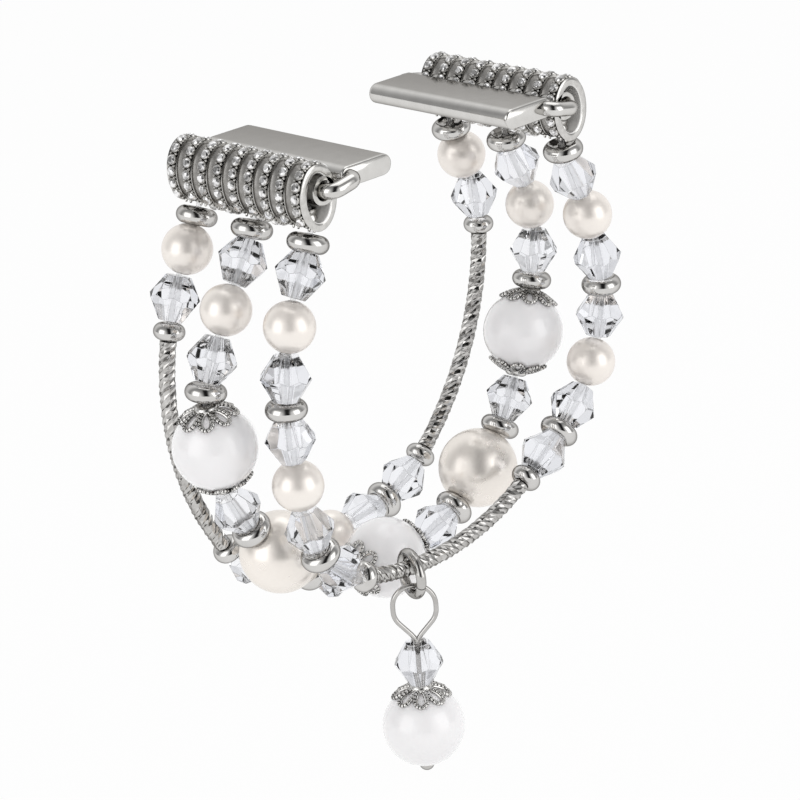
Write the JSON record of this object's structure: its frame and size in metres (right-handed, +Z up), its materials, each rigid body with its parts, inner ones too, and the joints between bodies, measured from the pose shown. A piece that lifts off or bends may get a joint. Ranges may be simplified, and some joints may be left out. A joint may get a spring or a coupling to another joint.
{
  "type": "beaded stretch watch band",
  "caption": "Triple-strand beaded stretch watch band with crystals, pearls and cat-eye balls, stone-set bails, hinged lug slider adapters and a hanging charm.",
  "frame": {"origin": "the middle of the place where the watch head sits, midway between the two lug sliders, at the sliders' mid thickness", "axes": "+X from the left slider to the right one, across the watch from 12 to 6 o'clock; +Y along the sliders, across the wrist, away from the viewer's side; +Z up, out of the watch's face; the band and its charm hang down -Z"},
  "size_m": [0.0737, 0.0327, 0.0931],
  "materials": {
    "adapter_metal": "polished",
    "bail_silver": "polished",
    "rhinestone": "foil-backed, faceted",
    "elastic": "clear, smooth",
    "crimp_metal": "polished",
    "tube_silver": "diamond cut",
    "spacer_silver": "polished",
    "cap_silver": "milled wire",
    "wire_silver": "polished",
    "cats_eye_glass": "milky, polished",
    "pearl": "pearl coat",
    "crystal": "cut and polished"
  },
  "bodies": {
    "band": {"bail_left": "bail_silver", "bail_right": "bail_silver", "rhinestones_left": "rhinestone", "rhinestones_right": "rhinestone", "elastic_cords": "elastic", "cord_crimps": "crimp_metal", "tube_far_left": "tube_silver", "tube_far_right": "tube_silver", "tube_near": "tube_silver", "spacers_far": "spacer_silver", "spacers_mid": "spacer_silver", "spacers_near": "spacer_silver", "bead_caps": "cap_silver"},
    "adapter_left": {"lug_slider_left": "adapter_metal", "hinge_bow_left": "adapter_metal"},
    "adapter_right": {"lug_slider_right": "adapter_metal", "hinge_bow_right": "adapter_metal"},
    "jump_ring": {"jump_ring": "wire_silver"},
    "eye_pin": {"eye_pin": "wire_silver"},
    "charm_crystal": {"charm_crystal": "crystal"},
    "charm_cap": {"charm_cap": "cap_silver"},
    "charm_ball": {"charm_ball": "cats_eye_glass"},
    "pearl_far_1": {"pearl_far_1": "pearl"},
    "crystal_far_1": {"crystal_far_1": "crystal"},
    "crystal_far_2": {"crystal_far_2": "crystal"},
    "crystal_far_3": {"crystal_far_3": "crystal"},
    "pearl_far_2": {"pearl_far_2": "pearl"},
    "crystal_far_4": {"crystal_far_4": "crystal"},
    "crystal_far_5": {"crystal_far_5": "crystal"},
    "crystal_far_6": {"crystal_far_6": "crystal"},
    "pearl_far_3": {"pearl_far_3": "pearl"},
    "crystal_mid_1": {"crystal_mid_1": "crystal"},
    "pearl_mid_1": {"pearl_mid_1": "pearl"},
    "crystal_mid_2": {"crystal_mid_2": "crystal"},
    "cats_eye_left": {"cats_eye_left": "cats_eye_glass"},
    "crystal_mid_3": {"crystal_mid_3": "crystal"},
    "big_pearl_left": {"big_pearl_left": "pearl"},
    "crystal_mid_4": {"crystal_mid_4": "crystal"},
    "cats_eye_middle": {"cats_eye_middle": "cats_eye_glass"},
    "crystal_mid_5": {"crystal_mid_5": "crystal"},
    "big_pearl_right": {"big_pearl_right": "pearl"},
    "crystal_mid_6": {"crystal_mid_6": "crystal"},
    "cats_eye_right": {"cats_eye_right": "cats_eye_glass"},
    "crystal_mid_7": {"crystal_mid_7": "crystal"},
    "pearl_mid_2": {"pearl_mid_2": "pearl"},
    "crystal_mid_8": {"crystal_mid_8": "crystal"},
    "crystal_near_1": {"crystal_near_1": "crystal"},
    "pearl_near_1": {"pearl_near_1": "pearl"},
    "crystal_near_2": {"crystal_near_2": "crystal"},
    "crystal_near_3": {"crystal_near_3": "crystal"},
    "pearl_near_2": {"pearl_near_2": "pearl"},
    "crystal_near_4": {"crystal_near_4": "crystal"},
    "crystal_near_5": {"crystal_near_5": "crystal"},
    "crystal_near_6": {"crystal_near_6": "crystal"},
    "crystal_near_7": {"crystal_near_7": "crystal"},
    "pearl_near_3": {"pearl_near_3": "pearl"},
    "crystal_near_8": {"crystal_near_8": "crystal"},
    "crystal_near_9": {"crystal_near_9": "crystal"},
    "pearl_near_4": {"pearl_near_4": "pearl"},
    "crystal_near_10": {"crystal_near_10": "crystal"}
  },
  "joints": [
    {"name": "adapter_left_hinge", "type": "hinge", "parent": "band", "child": "adapter_left", "pos_m": [-0.0229, 0, -0.0008], "axis": [0, -1, 0], "range_deg": [-28, 28]},
    {"name": "adapter_right_hinge", "type": "hinge", "parent": "band", "child": "adapter_right", "pos_m": [0.0229, 0, -0.0008], "axis": [0, 1, 0], "range_deg": [-28, 28]},
    {"name": "ring_swing", "type": "hinge", "parent": "band", "child": "jump_ring", "pos_m": [-0.01098, -0.011, -0.05866], "axis": [0.9964, 0, -0.0842], "range_deg": [-60, 20]},
    {"name": "charm_swing", "type": "hinge", "parent": "jump_ring", "child": "eye_pin", "pos_m": [-0.01098, -0.011, -0.06256], "axis": [0.309, 0.9511, 0], "range_deg": [-50, 50]},
    {"name": "charm_crystal_spin", "type": "hinge", "parent": "eye_pin", "child": "charm_crystal", "pos_m": [-0.01098, -0.011, -0.07309], "axis": [0, 0, 1], "continuous": true},
    {"name": "charm_cap_spin", "type": "hinge", "parent": "eye_pin", "child": "charm_cap", "pos_m": [-0.01098, -0.011, -0.08284], "axis": [0, 0, 1], "continuous": true},
    {"name": "charm_ball_spin", "type": "hinge", "parent": "eye_pin", "child": "charm_ball", "pos_m": [-0.01098, -0.011, -0.08284], "axis": [0, 0, 1], "continuous": true},
    {"name": "pearl_far_1_spin", "type": "hinge", "parent": "band", "child": "pearl_far_1", "pos_m": [-0.0268, 0.011, -0.01189], "axis": [-0.5179, 0, -0.8554], "continuous": true},
    {"name": "crystal_far_1_spin", "type": "hinge", "parent": "band", "child": "crystal_far_1", "pos_m": [-0.02986, 0.011, -0.01802], "axis": [-0.3662, 0, -0.9305], "continuous": true},
    {"name": "crystal_far_2_spin", "type": "hinge", "parent": "band", "child": "crystal_far_2", "pos_m": [-0.02131, 0.011, -0.05946], "axis": [0.8431, 0, -0.5378], "continuous": true},
    {"name": "crystal_far_3_spin", "type": "hinge", "parent": "band", "child": "crystal_far_3", "pos_m": [-0.01258, 0.011, -0.06157], "axis": [0.9967, 0, 0.0809], "continuous": true},
    {"name": "pearl_far_2_spin", "type": "hinge", "parent": "band", "child": "pearl_far_2", "pos_m": [-0.00587, 0.011, -0.06094], "axis": [0.9943, 0, 0.1067], "continuous": true},
    {"name": "crystal_far_4_spin", "type": "hinge", "parent": "band", "child": "crystal_far_4", "pos_m": [0.00082, 0.011, -0.06014], "axis": [0.9912, 0, 0.1324], "continuous": true},
    {"name": "crystal_far_5_spin", "type": "hinge", "parent": "band", "child": "crystal_far_5", "pos_m": [0.00912, 0.011, -0.0574], "axis": [0.8721, 0, 0.4892], "continuous": true},
    {"name": "crystal_far_6_spin", "type": "hinge", "parent": "band", "child": "crystal_far_6", "pos_m": [0.02792, 0.011, -0.01879], "axis": [-0.149, 0, 0.9888], "continuous": true},
    {"name": "pearl_far_3_spin", "type": "hinge", "parent": "band", "child": "pearl_far_3", "pos_m": [0.0259, 0.011, -0.01217], "axis": [-0.421, 0, 0.907], "continuous": true},
    {"name": "crystal_mid_1_spin", "type": "hinge", "parent": "band", "child": "crystal_mid_1", "pos_m": [-0.02668, 0, -0.01174], "axis": [-0.5541, 0, -0.8325], "continuous": true},
    {"name": "pearl_mid_1_spin", "type": "hinge", "parent": "band", "child": "pearl_mid_1", "pos_m": [-0.03028, 0, -0.01746], "axis": [-0.5137, 0, -0.8579], "continuous": true},
    {"name": "crystal_mid_2_spin", "type": "hinge", "parent": "band", "child": "crystal_mid_2", "pos_m": [-0.03349, 0, -0.02345], "axis": [-0.4254, 0, -0.905], "continuous": true},
    {"name": "cats_eye_left_spin", "type": "hinge", "parent": "band", "child": "cats_eye_left", "pos_m": [-0.03452, 0, -0.03563], "axis": [0.141, 0, -0.99], "continuous": true},
    {"name": "crystal_mid_3_spin", "type": "hinge", "parent": "band", "child": "crystal_mid_3", "pos_m": [-0.03186, 0, -0.04548], "axis": [0.4875, 0, -0.8731], "continuous": true},
    {"name": "big_pearl_left_spin", "type": "hinge", "parent": "band", "child": "big_pearl_left", "pos_m": [-0.02488, 0, -0.05415], "axis": [0.7134, 0, -0.7007], "continuous": true},
    {"name": "crystal_mid_4_spin", "type": "hinge", "parent": "band", "child": "crystal_mid_4", "pos_m": [-0.01572, 0, -0.06063], "axis": [0.9293, 0, -0.3693], "continuous": true},
    {"name": "cats_eye_middle_spin", "type": "hinge", "parent": "band", "child": "cats_eye_middle", "pos_m": [-0.00559, 0, -0.0619], "axis": [1, 0, 0.003], "continuous": true},
    {"name": "crystal_mid_5_spin", "type": "hinge", "parent": "band", "child": "crystal_mid_5", "pos_m": [0.00452, 0, -0.06072], "axis": [0.9421, 0, 0.3352], "continuous": true},
    {"name": "big_pearl_right_spin", "type": "hinge", "parent": "band", "child": "big_pearl_right", "pos_m": [0.01396, 0, -0.05471], "axis": [0.7502, 0, 0.6612], "continuous": true},
    {"name": "crystal_mid_6_spin", "type": "hinge", "parent": "band", "child": "crystal_mid_6", "pos_m": [0.02123, 0, -0.04623], "axis": [0.4865, 0, 0.8737], "continuous": true},
    {"name": "cats_eye_right_spin", "type": "hinge", "parent": "band", "child": "cats_eye_right", "pos_m": [0.02507, 0, -0.03698], "axis": [0.3314, 0, 0.9435], "continuous": true},
    {"name": "crystal_mid_7_spin", "type": "hinge", "parent": "band", "child": "crystal_mid_7", "pos_m": [0.02826, 0, -0.02545], "axis": [0.1264, 0, 0.992], "continuous": true},
    {"name": "pearl_mid_2_spin", "type": "hinge", "parent": "band", "child": "pearl_mid_2", "pos_m": [0.02811, 0, -0.01853], "axis": [-0.1606, 0, 0.987], "continuous": true},
    {"name": "crystal_mid_8_spin", "type": "hinge", "parent": "band", "child": "crystal_mid_8", "pos_m": [0.02598, 0, -0.01193], "axis": [-0.4557, 0, 0.8901], "continuous": true},
    {"name": "crystal_near_1_spin", "type": "hinge", "parent": "band", "child": "crystal_near_1", "pos_m": [-0.02645, -0.011, -0.01168], "axis": [-0.4747, 0, -0.8802], "continuous": true},
    {"name": "pearl_near_1_spin", "type": "hinge", "parent": "band", "child": "pearl_near_1", "pos_m": [-0.02903, -0.011, -0.01806], "axis": [-0.2769, 0, -0.9609], "continuous": true},
    {"name": "crystal_near_2_spin", "type": "hinge", "parent": "band", "child": "crystal_near_2", "pos_m": [-0.03045, -0.011, -0.02474], "axis": [-0.1324, 0, -0.9912], "continuous": true},
    {"name": "crystal_near_3_spin", "type": "hinge", "parent": "band", "child": "crystal_near_3", "pos_m": [-0.0308, -0.011, -0.03322], "axis": [0.0472, 0, -0.9989], "continuous": true},
    {"name": "pearl_near_2_spin", "type": "hinge", "parent": "band", "child": "pearl_near_2", "pos_m": [-0.03011, -0.011, -0.03999], "axis": [0.1492, 0, -0.9888], "continuous": true},
    {"name": "crystal_near_4_spin", "type": "hinge", "parent": "band", "child": "crystal_near_4", "pos_m": [-0.02877, -0.011, -0.04666], "axis": [0.2497, 0, -0.9683], "continuous": true},
    {"name": "crystal_near_5_spin", "type": "hinge", "parent": "band", "child": "crystal_near_5", "pos_m": [-0.02399, -0.011, -0.05425], "axis": [0.7831, 0, -0.6219], "continuous": true},
    {"name": "crystal_near_6_spin", "type": "hinge", "parent": "band", "child": "crystal_near_6", "pos_m": [0.01642, -0.011, -0.05086], "axis": [0.8363, 0, 0.5482], "continuous": true},
    {"name": "crystal_near_7_spin", "type": "hinge", "parent": "band", "child": "crystal_near_7", "pos_m": [0.02311, -0.011, -0.04565], "axis": [0.7279, 0, 0.6857], "continuous": true},
    {"name": "pearl_near_3_spin", "type": "hinge", "parent": "band", "child": "pearl_near_3", "pos_m": [0.02735, -0.011, -0.04016], "axis": [0.4871, 0, 0.8733], "continuous": true},
    {"name": "crystal_near_8_spin", "type": "hinge", "parent": "band", "child": "crystal_near_8", "pos_m": [0.02979, -0.011, -0.03367], "axis": [0.201, 0, 0.9796], "continuous": true},
    {"name": "crystal_near_9_spin", "type": "hinge", "parent": "band", "child": "crystal_near_9", "pos_m": [0.02996, -0.011, -0.02497], "axis": [-0.1479, 0, 0.989], "continuous": true},
    {"name": "pearl_near_4_spin", "type": "hinge", "parent": "band", "child": "pearl_near_4", "pos_m": [0.02841, -0.011, -0.01831], "axis": [-0.2993, 0, 0.9542], "continuous": true},
    {"name": "crystal_near_10_spin", "type": "hinge", "parent": "band", "child": "crystal_near_10", "pos_m": [0.02588, -0.011, -0.01196], "axis": [-0.4434, 0, 0.8963], "continuous": true}
  ]
}
